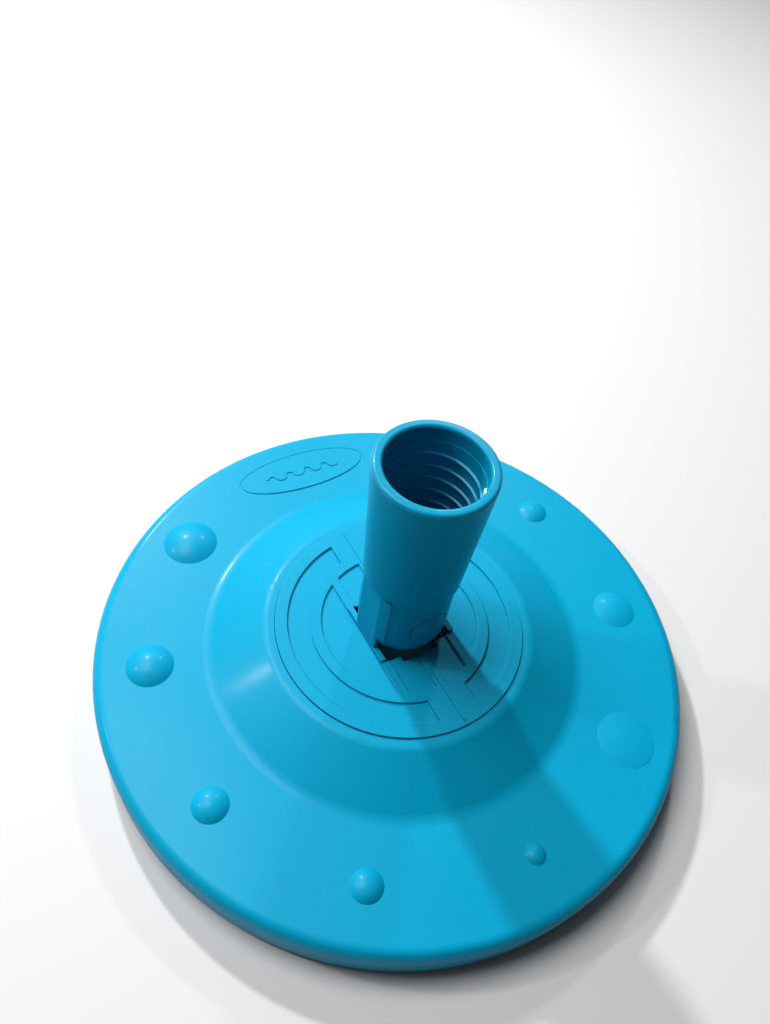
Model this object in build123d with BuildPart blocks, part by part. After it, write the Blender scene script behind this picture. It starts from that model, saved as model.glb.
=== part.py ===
from build123d import *
from math import cos, radians, sin
import os

# Round pool vacuum head with a tilting hose socket.
# Frame: Z = 0 is the plane that the bristle tips rest on, +Z up, the disc axis is the Z axis,
# the socket tilts about an axis parallel to X, and the badge lies towards +Y.

# ---------------------------------------------------------------- driving dimensions, mm
HEAD_R = 150.0                 # widest radius of the head
BRISTLE_DROP = 3.0             # bristle tips below the skirt's edge
SKIRT_H = 15.7                 # skirt, from its edge to the widest circle
SKIRT_DRAFT = 0.4              # the skirt's edge lies this much inside the widest circle
RIM_FILLET = 5.5               # rounding between skirt and deck
WALL = 3.0                     # wall of the mouldings
DECK_RISE = 1.0                # deck rises this much from rim to cone
CONE_FOOT_R = 95.0             # corner between deck and cone, before rounding
CONE_TOP_R = 67.0              # corner between cone and plateau, before rounding
CONE_FOOT_FILLET = 12.0
CONE_TOP_FILLET = 7.0
PLATE_TOP_Z = 40.0             # tops of the ribs on the pivot plate
PLATE_STEP = 1.0               # pivot plate stands above the plateau by this much
PLATE_R = 62.4                 # radius of the pivot plate
PLATE_T = 3.0                  # thickness of the pivot plate
PLATE_PLAY = 0.25              # radial play of the pivot plate in its seat
GASKET_T = 0.8
GASKET_INSET = 0.5             # gasket inside the edges that it lies between
FLANGE_BORE_R = 50.0           # opening inside the flange that the plate is screwed to

BUBBLE_CIRCLE_R = 122.5        # centres of the bubbles and of the badge
STATION = 36.0                 # ten stations round the deck, the badge takes one of them
BUBBLES = (                    # station number, radius, height
    (1, 14.3, 4.4),
    (2, 11.6, 4.0),
    (3, 8.6, 3.2),
    (4, 7.5, 3.0),
    (5, 5.0, 2.0),
    (6, 15.0, 1.5),
    (7, 11.6, 2.2),
    (8, 8.3, 2.6),
    (9, 6.8, 2.4),
)
BADGE_ANGLE = 87.0
BADGE_HALF_LENGTH = 39.0
BADGE_HALF_WIDTH = 14.0
BADGE_LINE = 1.2               # width of the engraved line
BADGE_DEPTH = 0.45
WAVE_LENGTH = 11.0             # one wave of the mark inside the badge
WAVE_HEIGHT = 2.2
WAVE_LINE = 1.6
WAVE_COUNT = 4
WAVE_RISE = 0.5

RING_POCKET_R = (45.0, 56.1)   # arc pockets of the relief
RING_POCKET_END_X = 10.4       # the arc pockets stop this far from the centre line
CORE_R = 39.4                  # pockets inside the inner ring
CENTRE_RIB_X = 2.4             # half width of the rib on the centre line
RAIL_X = (16.3, 20.9)          # rails that carry the cheeks
POCKET_DEPTH = 1.3
RELIEF_FILLET = 0.35           # rounding of the relief's upper edges
RIDGE_W = 1.2                  # fine ridge along the centre line
RIDGE_H = 0.5
RIDGE_Y = (22.0, 60.0)

PIVOT_H = 13.5                 # pivot axis above the rib tops
CHEEK_X = (18.2, 20.8)         # inner and outer face of a cheek
CHEEK_R = 22.1                 # round front and back of a cheek, about the Z axis
CHEEK_FOOT_Y = 8.8             # half width of a cheek's narrow foot
CHEEK_WAIST_Z = 51.0           # a cheek has its full width above this height
CHEEK_TOP_R = 31.8             # rounded top of a cheek, about the pivot axis
CHEEK_BASE_Y = 16.6            # half length of the low block under a cheek
CHEEK_BASE_H = 1.6
SHOULDER_S = 32.4              # shoulder of the socket, distance from the pivot axis
THROAT_Y = 17.3                # half length of the opening under the socket's foot
THROAT_SLOT_X = 9.9            # longer part of the opening, for the key
THROAT_SLOT_Y = 20.7

FOOT_R = 21.6                  # ball and cylinder of the socket's foot
FOOT_FLAT_X = 17.9             # flats between the cheeks
FOOT_WALL = 2.6
FOOT_BEVEL = 1.2               # bevel from the foot out to the shoulder
FOOT_STEP = 1.0                # the foot's hollow is this much narrower below the pivot
SOCKET_FOOT_R = 22.9           # outside radius just above the shoulder
SOCKET_TOP_R = 26.5            # outside radius at the mouth
SOCKET_TOP_Z = 154.9
LIP_OUTER_FILLET = 1.6
LIP_INNER_FILLET = 1.5
HOSE_BORE_R = 21.45            # bore between the thread's ridges
HOSE_BORE_DEPTH = 56.0
ENTRY_R = 21.8                 # smooth entry above the thread
ENTRY_DEPTH = 8.0
LOWER_BORE_R = 18.8
THREAD_PITCH = 7.5
THREAD_START = 9.5             # first ridge below the mouth
THREAD_TURNS = 4.9
THREAD_RISE = 0.9              # ridge height
THREAD_FOOT = 0.9              # half width of the ridge at the wall
THREAD_CREST = 0.3             # half width of the ridge at its crest
THREAD_ROOT = 0.35             # how far the ridge is rooted in the wall
WASHER_T = 2.0
WASHER_BORE_R = 18.9
WASHER_PLAY = 0.15

KEY_X = 9.0                    # half width of the key that locks the pins
KEY_SIDE_H = 26.5              # its straight sides end here, above the rib tops
KEY_TOP_H = 33.0
KEY_GAP = 0.7                  # gap round the key's top
KEY_GAP_H = 20.0               # the gap starts this far above the rib tops
KEY_PASSAGE_X = 6.8            # water passage through the key
KEY_PASSAGE_Y = 17.6
PIN_R = 4.0
PIN_HEAD_R = 5.6
PIN_END_X = 19.9
PIN_RUNNING_PLAY = 0.05
BUSH_R = 5.6
BUSH_END_X = 20.1

DUCT_R = (28.0, 31.0)          # bore and outside of the suction duct
DUCT_FLANGE_R = 37.0
DUCT_FLANGE_T = 3.0
DUCT_SEAL_R = (32.6, 35.0)
DUCT_SEAL_T = 1.6
BASE_Z = (9.0, 12.0)           # faces of the base plate
BASE_R = 143.0
MOUTH_BEVEL = 2.0              # bevel round the suction opening
SPIGOT_R = (31.3, 34.0)        # ring of the base plate round the duct
SPIGOT_H = 5.0
FENCE_T = 1.6                  # low walls that hold the ballast
FENCE_H = 4.0
BALLAST_R = (73.0, 111.0)
BALLAST_T = 6.0
BALLAST_ARC = 70.0
BALLAST_COUNT = 4
BALLAST_PLAY = 0.4

BRUSH_COUNT = 6
BRUSH_R = (119.0, 131.0)
BRUSH_ARC = 44.0
BRUSH_BACK_T = 3.0
BRISTLE_R = (120.5, 129.5)
BRISTLE_ARC = 42.5
PEG_R = 2.4
PEG_PLAY = 0.1
PEG_ARC = 28.0                 # angle between a brush's two pegs
PEG_CIRCLE_R = 125.0

BASE_SCREW_R = 137.0           # circle of the screws that hold the base plate
BOSS_R = 4.5
BOSS_ROOT = 0.5                # the bosses run this far into the deck
PLATE_SCREW_CIRCLE_R = 56.0    # circle of the screws that hold the pivot plate
PLATE_BOSS_R = 3.6
BOSS_PLAY = 0.3
SCREW_COUNT = 6
SCREW_SHANK_R = 1.5
SCREW_HEAD_R = 3.4
SCREW_HEAD_T = 1.8
WASHER_HEAD_R = 5.6
BASE_SCREW_LENGTH = 9.0
PLATE_SCREW_LENGTH = 4.4

# ---------------------------------------------------------------- levels worked out from them
SKIRT_Z = BRISTLE_DROP
RIM_Z = SKIRT_Z + SKIRT_H
DECK_Z = RIM_Z + RIM_FILLET
PLATEAU_Z = PLATE_TOP_Z - PLATE_STEP
PLATE_UNDER_Z = PLATE_TOP_Z - PLATE_T
SEAT_Z = PLATE_UNDER_Z - GASKET_T
FLANGE_Z = SEAT_Z - WALL
SEAT_R = PLATE_R + PLATE_PLAY
PIVOT_Z = PLATE_TOP_Z + PIVOT_H
SHOULDER_Z = PIVOT_Z + SHOULDER_S
LEDGE_Z = SOCKET_TOP_Z - HOSE_BORE_DEPTH
CONE_SLOPE = (PLATEAU_Z - DECK_Z - DECK_RISE) / (CONE_FOOT_R - CONE_TOP_R)


def deck_z(radius):
    """Height of the deck at a radius."""
    return DECK_Z + DECK_RISE * (HEAD_R - radius) / (HEAD_R - CONE_FOOT_R)


def on_circle(radius, angle, z=0.0):
    """Point at an angle in degrees on a circle about the Z axis."""
    return (radius * cos(radians(angle)), radius * sin(radians(angle)), z)


os.makedirs("parts", exist_ok=True)

# ---------------------------------------------------------------- head shell
cone_end_r = CONE_TOP_R + (PLATEAU_Z - WALL - FLANGE_Z) / CONE_SLOPE
bubble_root = 0.1              # a bubble's edge lies this much below the deck
with BuildPart() as head_shell:
    with BuildSketch(Plane.XZ):
        with BuildLine():
            FilletPolyline(
                (HEAD_R - SKIRT_DRAFT, SKIRT_Z),
                (HEAD_R + SKIRT_DRAFT * RIM_FILLET / SKIRT_H, DECK_Z),
                (CONE_FOOT_R, DECK_Z + DECK_RISE),
                (CONE_TOP_R, PLATEAU_Z),
                (SEAT_R, PLATEAU_Z),
                radius=[RIM_FILLET, CONE_FOOT_FILLET, CONE_TOP_FILLET],
            )
            Polyline(
                (SEAT_R, PLATEAU_Z),
                (SEAT_R, SEAT_Z),
                (FLANGE_BORE_R, SEAT_Z),
                (FLANGE_BORE_R, FLANGE_Z),
            )
            FilletPolyline(
                (FLANGE_BORE_R, FLANGE_Z),
                (cone_end_r, FLANGE_Z),
                (CONE_FOOT_R, DECK_Z + DECK_RISE - WALL),
                (HEAD_R - WALL, DECK_Z - WALL),
                (HEAD_R - SKIRT_DRAFT - WALL, SKIRT_Z),
                radius=[WALL, CONE_FOOT_FILLET, RIM_FILLET - WALL],
            )
            Line((HEAD_R - SKIRT_DRAFT - WALL, SKIRT_Z), (HEAD_R - SKIRT_DRAFT, SKIRT_Z))
        make_face()
    revolve(axis=Axis.Z)
    # bubbles: shallow spherical caps
    for station, radius, height in BUBBLES:
        x, y, z = on_circle(BUBBLE_CIRCLE_R, 90 + STATION * station, deck_z(BUBBLE_CIRCLE_R))
        with BuildSketch(Plane(origin=(x, y, z), x_dir=(1, 0, 0), z_dir=(0, -1, 0))):
            with BuildLine():
                cap_r = (radius**2 + height**2) / (2 * height)
                RadiusArc((0, height), (radius, -bubble_root), cap_r)
                Polyline((radius, -bubble_root), (radius, -WALL / 2), (0, -WALL / 2), (0, height))
            make_face()
        revolve(axis=Axis((x, y, z), (0, 0, 1)))
    # badge: an engraved oval line round a small raised wave
    badge_x, badge_y, badge_z = on_circle(BUBBLE_CIRCLE_R, BADGE_ANGLE, deck_z(BUBBLE_CIRCLE_R))
    badge_plane = Plane(
        origin=(badge_x, badge_y, badge_z - BADGE_DEPTH),
        x_dir=on_circle(1, BADGE_ANGLE - 90),
        z_dir=(0, 0, 1),
    )
    with BuildSketch(badge_plane):
        Ellipse(BADGE_HALF_LENGTH, BADGE_HALF_WIDTH)
        Ellipse(BADGE_HALF_LENGTH - BADGE_LINE, BADGE_HALF_WIDTH - BADGE_LINE, mode=Mode.SUBTRACT)
    extrude(amount=2 * WALL, mode=Mode.SUBTRACT)
    with BuildSketch(badge_plane):
        with BuildLine():
            wave_start = -WAVE_COUNT * WAVE_LENGTH / 2
            for i in range(2 * WAVE_COUNT):
                left = wave_start + i * WAVE_LENGTH / 2
                ThreePointArc(
                    (left, 0),
                    (left + WAVE_LENGTH / 4, WAVE_HEIGHT * (-1) ** i),
                    (left + WAVE_LENGTH / 2, 0),
                )
        trace(line_width=WAVE_LINE)
    extrude(amount=BADGE_DEPTH + WAVE_RISE)
    # bosses for the screws of the base plate
    with BuildSketch(Plane.XY.offset(BASE_Z[1])):
        with PolarLocations(BASE_SCREW_R, SCREW_COUNT):
            Circle(BOSS_R)
            Circle(SCREW_SHANK_R, mode=Mode.SUBTRACT)
    extrude(amount=DECK_Z - WALL + BOSS_ROOT - BASE_Z[1])
    # holes in the flange for the bosses of the pivot plate
    with BuildSketch(Plane.XY.offset(FLANGE_Z)):
        with PolarLocations(PLATE_SCREW_CIRCLE_R, SCREW_COUNT, start_angle=30):
            Circle(PLATE_BOSS_R + BOSS_PLAY)
    extrude(amount=WALL, mode=Mode.SUBTRACT)
head_shell.part.label = "head_shell"
export_step(head_shell.part, "parts/head_shell.step")

# ---------------------------------------------------------------- gasket under the pivot plate
with BuildPart() as plate_gasket:
    with BuildSketch(Plane.XY.offset(SEAT_Z)):
        Circle(PLATE_R - GASKET_INSET)
        Circle(FLANGE_BORE_R + GASKET_INSET, mode=Mode.SUBTRACT)
        with PolarLocations(PLATE_SCREW_CIRCLE_R, SCREW_COUNT, start_angle=30):
            Circle(PLATE_BOSS_R + BOSS_PLAY, mode=Mode.SUBTRACT)
    extrude(amount=GASKET_T)
plate_gasket.part.label = "plate_gasket"
export_step(plate_gasket.part, "parts/plate_gasket.step")

# ---------------------------------------------------------------- cheeks that hold the pivot
cheek_foot_z = PLATE_TOP_Z - POCKET_DEPTH
with BuildPart() as cheeks:
    with BuildSketch(Plane.YZ.offset(-CHEEK_X[1])):
        with Locations((0, PIVOT_Z)):
            Circle(CHEEK_TOP_R)
        with Locations((0, cheek_foot_z)):
            Rectangle(
                4 * CHEEK_R,
                2 * CHEEK_TOP_R,
                align=(Align.CENTER, Align.MIN),
                mode=Mode.INTERSECT,
            )
        for side in (-1, 1):
            with Locations((side * (CHEEK_FOOT_Y + CHEEK_R), CHEEK_WAIST_Z)):
                Rectangle(
                    2 * CHEEK_R,
                    CHEEK_TOP_R,
                    align=(Align.CENTER, Align.MAX),
                    mode=Mode.SUBTRACT,
                )
    extrude(amount=2 * CHEEK_X[1])
    # flat inside and outside, round at the front and back
    with BuildSketch(Plane.XY.offset(cheek_foot_z)):
        Circle(CHEEK_R)
        Rectangle(2 * CHEEK_X[0], 4 * CHEEK_R, mode=Mode.SUBTRACT)
        Rectangle(2 * CHEEK_X[1], 4 * CHEEK_R, mode=Mode.INTERSECT)
    extrude(amount=2 * CHEEK_TOP_R, mode=Mode.INTERSECT)

# ---------------------------------------------------------------- pivot plate
with BuildPart() as pivot_plate:
    with BuildSketch(Plane.XY.offset(PLATE_UNDER_Z)):
        Circle(PLATE_R)
    extrude(amount=PLATE_T)
    # relief: arc pockets outside the inner ring
    with BuildSketch(Plane.XY.offset(PLATE_TOP_Z)):
        Circle(RING_POCKET_R[1])
        Circle(RING_POCKET_R[0], mode=Mode.SUBTRACT)
        Rectangle(2 * RING_POCKET_END_X, 4 * PLATE_R, mode=Mode.SUBTRACT)
    extrude(amount=-POCKET_DEPTH, mode=Mode.SUBTRACT)
    # relief: strips and segments inside it, between the centre rib and the rails
    with BuildSketch(Plane.XY.offset(PLATE_TOP_Z)):
        Circle(CORE_R)
        Rectangle(2 * CENTRE_RIB_X, 4 * PLATE_R, mode=Mode.SUBTRACT)
        for side in (-1, 1):
            with Locations((side * sum(RAIL_X) / 2, 0)):
                Rectangle(RAIL_X[1] - RAIL_X[0], 4 * PLATE_R, mode=Mode.SUBTRACT)
    extrude(amount=-POCKET_DEPTH, mode=Mode.SUBTRACT)
    fillet(pivot_plate.edges().group_by(Axis.Z)[-1], RELIEF_FILLET)
    # fine ridge along the centre line
    with BuildSketch(Plane.XY.offset(PLATE_TOP_Z)):
        for side in (-1, 1):
            with Locations((0, side * sum(RIDGE_Y) / 2)):
                Rectangle(RIDGE_W, RIDGE_Y[1] - RIDGE_Y[0])
    extrude(amount=RIDGE_H)
    # cheeks on the rails, with a low block under each
    add(cheeks.part)
    for side in (-1, 1):
        with BuildSketch(Plane.XY.offset(cheek_foot_z)):
            with Locations((side * sum(RAIL_X) / 2, 0)):
                Rectangle(RAIL_X[1] - RAIL_X[0], 2 * CHEEK_BASE_Y)
        extrude(amount=POCKET_DEPTH + CHEEK_BASE_H)
    # blind sockets for the bushes
    for side in (-1, 1):
        with BuildSketch(Plane.YZ.offset(min(side * CHEEK_X[0], side * BUSH_END_X))):
            with Locations((0, PIVOT_Z)):
                Circle(BUSH_R)
        extrude(amount=BUSH_END_X - CHEEK_X[0], mode=Mode.SUBTRACT)
    # opening under the socket's foot
    with BuildSketch(Plane.XY.offset(PLATE_UNDER_Z)):
        Rectangle(2 * CHEEK_X[0], 2 * THROAT_Y)
        Rectangle(2 * THROAT_SLOT_X, 2 * THROAT_SLOT_Y)
    extrude(amount=PLATE_T + CHEEK_BASE_H, mode=Mode.SUBTRACT)
    # bosses for the screws, through the flange of the shell
    with BuildSketch(Plane.XY.offset(FLANGE_Z)):
        with PolarLocations(PLATE_SCREW_CIRCLE_R, SCREW_COUNT, start_angle=30):
            Circle(PLATE_BOSS_R)
    extrude(amount=PLATE_UNDER_Z - FLANGE_Z)
    with BuildSketch(Plane.XY.offset(FLANGE_Z)):
        with PolarLocations(PLATE_SCREW_CIRCLE_R, SCREW_COUNT, start_angle=30):
            Circle(SCREW_SHANK_R)
    extrude(amount=PLATE_SCREW_LENGTH, mode=Mode.SUBTRACT)
pivot_plate.part.label = "pivot_plate"
export_step(pivot_plate.part, "parts/pivot_plate.step")

# ---------------------------------------------------------------- bushes and pins of the pivot
for name, side in (("left", -1), ("right", 1)):
    with BuildPart() as bush:
        with BuildSketch(Plane.YZ.offset(min(side * CHEEK_X[0], side * BUSH_END_X))):
            with Locations((0, PIVOT_Z)):
                Circle(BUSH_R)
                Circle(PIN_R + PIN_RUNNING_PLAY, mode=Mode.SUBTRACT)
        extrude(amount=BUSH_END_X - CHEEK_X[0])
    bush.part.label = name + "_bush"
    export_step(bush.part, "parts/" + name + "_bush.step")
    with BuildPart() as pin:
        with BuildSketch(Plane.YZ.offset(side * (FOOT_FLAT_X - FOOT_WALL))):
            with Locations((0, PIVOT_Z)):
                Circle(PIN_R)
        extrude(amount=side * (PIN_END_X - FOOT_FLAT_X + FOOT_WALL))
        with BuildSketch(Plane.YZ.offset(side * KEY_X)):
            with Locations((0, PIVOT_Z)):
                Circle(PIN_HEAD_R)
        extrude(amount=side * (FOOT_FLAT_X - FOOT_WALL - KEY_X))
    pin.part.label = name + "_pin"
    export_step(pin.part, "parts/" + name + "_pin.step")

# ---------------------------------------------------------------- hose socket
with BuildPart() as hose_socket:
    with BuildSketch(Plane.XZ):
        with BuildLine():
            Line((0, SOCKET_TOP_Z), (SOCKET_TOP_R, SOCKET_TOP_Z))
            Polyline(
                (SOCKET_TOP_R, SOCKET_TOP_Z),
                (SOCKET_FOOT_R, SHOULDER_Z),
                (FOOT_R, SHOULDER_Z - FOOT_BEVEL),
                (FOOT_R, PIVOT_Z),
            )
            CenterArc((0, PIVOT_Z), FOOT_R, 0, -90)
            Line((0, PIVOT_Z - FOOT_R), (0, SOCKET_TOP_Z))
        make_face()
    revolve(axis=Axis.Z)
    # flats between the cheeks
    for side in (-1, 1):
        with BuildSketch(Plane.XY.offset(SHOULDER_Z)):
            with Locations((side * (FOOT_FLAT_X + FOOT_R / 2), 0)):
                Rectangle(FOOT_R, 3 * FOOT_R)
        extrude(amount=-2 * SHOULDER_S - FOOT_R, mode=Mode.SUBTRACT)
    # bores
    with BuildSketch(Plane.XY.offset(LEDGE_Z)):
        Circle(HOSE_BORE_R)
    extrude(amount=HOSE_BORE_DEPTH, mode=Mode.SUBTRACT)
    with BuildSketch(Plane.XY.offset(SOCKET_TOP_Z - ENTRY_DEPTH)):
        Circle(ENTRY_R)
    extrude(amount=ENTRY_DEPTH, mode=Mode.SUBTRACT)
    mouth = hose_socket.faces().sort_by(Axis.Z)[-1]
    fillet(mouth.edges().sort_by(SortBy.RADIUS)[-1], LIP_OUTER_FILLET)
    mouth = hose_socket.faces().filter_by(GeomType.PLANE).sort_by(Axis.Z)[-1]
    fillet(mouth.edges().sort_by(SortBy.RADIUS)[0], LIP_INNER_FILLET)
    with BuildSketch(Plane.XY.offset(SHOULDER_Z + WALL)):
        Circle(LOWER_BORE_R)
    extrude(amount=LEDGE_Z - SHOULDER_Z - WALL, mode=Mode.SUBTRACT)
    # hollow of the foot, narrower between the flats
    inner_x = FOOT_FLAT_X - FOOT_WALL
    with BuildSketch(Plane.XY.offset(PIVOT_Z)):
        Circle(FOOT_R - FOOT_WALL)
        Rectangle(2 * inner_x, 4 * FOOT_R, mode=Mode.INTERSECT)
    extrude(amount=SHOULDER_S + WALL, mode=Mode.SUBTRACT)
    with BuildSketch(Plane.XY.offset(PIVOT_Z)):
        Circle(FOOT_R - FOOT_WALL - FOOT_STEP)
        Rectangle(2 * inner_x, 4 * FOOT_R, mode=Mode.INTERSECT)
    extrude(amount=-2 * FOOT_R, mode=Mode.SUBTRACT)
    # arched windows that the key slides through, front to back, with a gap round its top
    window_side_z = PLATE_TOP_Z + KEY_SIDE_H
    window_levels = ((0, PIVOT_Z), (KEY_GAP, PLATE_TOP_Z + KEY_GAP_H))
    with BuildSketch(Plane.XZ.offset(-2 * FOOT_R)):
        for gap, low_z in window_levels:
            with BuildLine():
                Polyline(
                    (-KEY_X - gap, window_side_z),
                    (-KEY_X - gap, low_z),
                    (KEY_X + gap, low_z),
                    (KEY_X + gap, window_side_z),
                )
                ThreePointArc(
                    (KEY_X + gap, window_side_z),
                    (0, PLATE_TOP_Z + KEY_TOP_H + KEY_GAP),
                    (-KEY_X - gap, window_side_z),
                )
            make_face()
        with Locations((0, PIVOT_Z)):
            Circle(KEY_X)
    extrude(amount=4 * FOOT_R, mode=Mode.SUBTRACT)
    # bores for the pins
    with BuildSketch(Plane.YZ.offset(-2 * FOOT_R)):
        with Locations((0, PIVOT_Z)):
            Circle(PIN_R)
    extrude(amount=4 * FOOT_R, mode=Mode.SUBTRACT)
    # helical ridges that a spiral hose screws into
    thread_z = SOCKET_TOP_Z - THREAD_START - THREAD_PITCH * THREAD_TURNS
    thread = Helix(
        pitch=THREAD_PITCH,
        height=THREAD_PITCH * THREAD_TURNS,
        radius=HOSE_BORE_R,
        center=(0, 0, thread_z),
        mode=Mode.PRIVATE,
    )
    with BuildSketch(Plane(origin=thread @ 0, x_dir=(-1, 0, 0), z_dir=thread % 0)):
        with BuildLine():
            Polyline(
                (-THREAD_ROOT, -THREAD_FOOT),
                (THREAD_RISE, -THREAD_CREST),
                (THREAD_RISE, THREAD_CREST),
                (-THREAD_ROOT, THREAD_FOOT),
                close=True,
            )
        make_face()
    sweep(path=thread, is_frenet=True)
hose_socket.part.label = "hose_socket"
export_step(hose_socket.part, "parts/hose_socket.step")

# ---------------------------------------------------------------- washer on the socket's ledge
with BuildPart() as hose_washer:
    with BuildSketch(Plane.XY.offset(LEDGE_Z)):
        Circle(HOSE_BORE_R - WASHER_PLAY)
        Circle(WASHER_BORE_R, mode=Mode.SUBTRACT)
    extrude(amount=WASHER_T)
hose_washer.part.label = "hose_washer"
export_step(hose_washer.part, "parts/hose_washer.step")

# ---------------------------------------------------------------- key that keeps the pins apart
with BuildPart() as pivot_key:
    with BuildSketch(Plane.XZ.offset(-FOOT_R)):
        with BuildLine():
            side_z = PLATE_TOP_Z + KEY_SIDE_H
            Line((-KEY_X, side_z), (-KEY_X, PIVOT_Z))
            ThreePointArc((-KEY_X, PIVOT_Z), (0, PIVOT_Z - KEY_X), (KEY_X, PIVOT_Z))
            Line((KEY_X, PIVOT_Z), (KEY_X, side_z))
            ThreePointArc((KEY_X, side_z), (0, PLATE_TOP_Z + KEY_TOP_H), (-KEY_X, side_z))
        make_face()
    extrude(amount=2 * FOOT_R)
    # its ends follow the socket's foot
    with BuildSketch(Plane.XZ):
        with BuildLine():
            Polyline((0, SHOULDER_Z), (FOOT_R, SHOULDER_Z), (FOOT_R, PIVOT_Z))
            CenterArc((0, PIVOT_Z), FOOT_R, 0, -90)
            Line((0, PIVOT_Z - FOOT_R), (0, SHOULDER_Z))
        make_face()
    revolve(axis=Axis.Z, mode=Mode.INTERSECT)
    with BuildSketch(Plane.XY.offset(PIVOT_Z - 2 * KEY_X)):
        SlotOverall(2 * KEY_PASSAGE_Y, 2 * KEY_PASSAGE_X, rotation=90)
    extrude(amount=4 * FOOT_R, mode=Mode.SUBTRACT)
pivot_key.part.label = "pivot_key"
export_step(pivot_key.part, "parts/pivot_key.step")

# ---------------------------------------------------------------- suction duct and its seal
with BuildPart() as suction_duct:
    with BuildSketch(Plane.XY.offset(BASE_Z[1])):
        Circle(DUCT_R[1])
    extrude(amount=PLATE_UNDER_Z - BASE_Z[1])
    with BuildSketch(Plane.XY.offset(PLATE_UNDER_Z - DUCT_FLANGE_T)):
        Circle(DUCT_FLANGE_R)
    extrude(amount=DUCT_FLANGE_T)
    with BuildSketch(Plane.XY.offset(BASE_Z[1])):
        Circle(DUCT_R[0])
    extrude(amount=PLATE_UNDER_Z - BASE_Z[1], mode=Mode.SUBTRACT)
    with BuildSketch(Plane.XY.offset(PLATE_UNDER_Z - DUCT_SEAL_T)):
        Circle(DUCT_SEAL_R[1])
        Circle(DUCT_SEAL_R[0], mode=Mode.SUBTRACT)
    extrude(amount=DUCT_SEAL_T, mode=Mode.SUBTRACT)
suction_duct.part.label = "suction_duct"
export_step(suction_duct.part, "parts/suction_duct.step")

with BuildPart() as duct_seal:
    with BuildSketch(Plane.XY.offset(PLATE_UNDER_Z - DUCT_SEAL_T)):
        Circle(DUCT_SEAL_R[1])
        Circle(DUCT_SEAL_R[0], mode=Mode.SUBTRACT)
    extrude(amount=DUCT_SEAL_T)
duct_seal.part.label = "duct_seal"
export_step(duct_seal.part, "parts/duct_seal.step")

# ---------------------------------------------------------------- base plate
with BuildPart() as base_plate:
    with BuildSketch(Plane.XY.offset(BASE_Z[0])):
        Circle(BASE_R)
        Circle(DUCT_R[0], mode=Mode.SUBTRACT)
        with PolarLocations(BASE_SCREW_R, SCREW_COUNT):
            Circle(SCREW_SHANK_R + BOSS_PLAY, mode=Mode.SUBTRACT)
        for half in (-0.5, 0.5):
            with PolarLocations(PEG_CIRCLE_R, BRUSH_COUNT, start_angle=30 + half * PEG_ARC):
                Circle(PEG_R + PEG_PLAY, mode=Mode.SUBTRACT)
    extrude(amount=BASE_Z[1] - BASE_Z[0])
    with BuildSketch(Plane.XY.offset(BASE_Z[1])):
        Circle(SPIGOT_R[1])
        Circle(SPIGOT_R[0], mode=Mode.SUBTRACT)
    extrude(amount=SPIGOT_H)
    for inner in (BALLAST_R[0] - BALLAST_PLAY - FENCE_T, BALLAST_R[1] + BALLAST_PLAY):
        with BuildSketch(Plane.XY.offset(BASE_Z[1])):
            Circle(inner + FENCE_T)
            Circle(inner, mode=Mode.SUBTRACT)
        extrude(amount=FENCE_H)
    with BuildSketch(Plane.XY.offset(BASE_Z[1])):
        with PolarLocations(sum(BALLAST_R) / 2, BALLAST_COUNT):
            Rectangle(BALLAST_R[1] - BALLAST_R[0], 2 * FENCE_T)
    extrude(amount=FENCE_H)
    # bevelled mouth of the suction opening
    mouth_edges = base_plate.edges().filter_by(GeomType.CIRCLE).group_by(Axis.Z)[0]
    chamfer(mouth_edges.group_by(SortBy.RADIUS)[-2], MOUTH_BEVEL)
base_plate.part.label = "base_plate"
export_step(base_plate.part, "parts/base_plate.step")


def arc_block(radii, arc, z, thickness, angle):
    """Sector of a ring, centred on an angle."""
    half = arc / 2
    with BuildPart() as block:
        with BuildSketch(Plane.XY.offset(z)):
            with BuildLine():
                CenterArc((0, 0), radii[0], angle - half, arc)
                CenterArc((0, 0), radii[1], angle - half, arc)
                for end in (angle - half, angle + half):
                    Line(on_circle(radii[0], end)[:2], on_circle(radii[1], end)[:2])
            make_face()
        extrude(amount=thickness)
    return block.part


# ---------------------------------------------------------------- ballast
for i in range(BALLAST_COUNT):
    ballast_angle = 360 / BALLAST_COUNT * (i + 0.5)
    ballast = arc_block(BALLAST_R, BALLAST_ARC, BASE_Z[1], BALLAST_T, ballast_angle)
    ballast.label = "ballast_" + str(i + 1)
    export_step(ballast, "parts/" + ballast.label + ".step")

# ---------------------------------------------------------------- brushes
for i in range(BRUSH_COUNT):
    brush_angle = 360 / BRUSH_COUNT * (i + 0.5)
    back_z = BASE_Z[0] - BRUSH_BACK_T
    bar = arc_block(BRUSH_R, BRUSH_ARC, back_z, BRUSH_BACK_T, brush_angle)
    with BuildPart() as brush_back:
        add(bar)
        with BuildSketch(Plane.XY.offset(BASE_Z[0])):
            for half in (-0.5, 0.5):
                with Locations(on_circle(PEG_CIRCLE_R, brush_angle + half * PEG_ARC)):
                    Circle(PEG_R)
        extrude(amount=BASE_Z[1] - BASE_Z[0])
    brush_back.part.label = "brush_back_" + str(i + 1)
    export_step(brush_back.part, "parts/" + brush_back.part.label + ".step")
    bristles = arc_block(BRISTLE_R, BRISTLE_ARC, 0, back_z, brush_angle)
    bristles.label = "bristles_" + str(i + 1)
    export_step(bristles, "parts/" + bristles.label + ".step")

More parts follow.
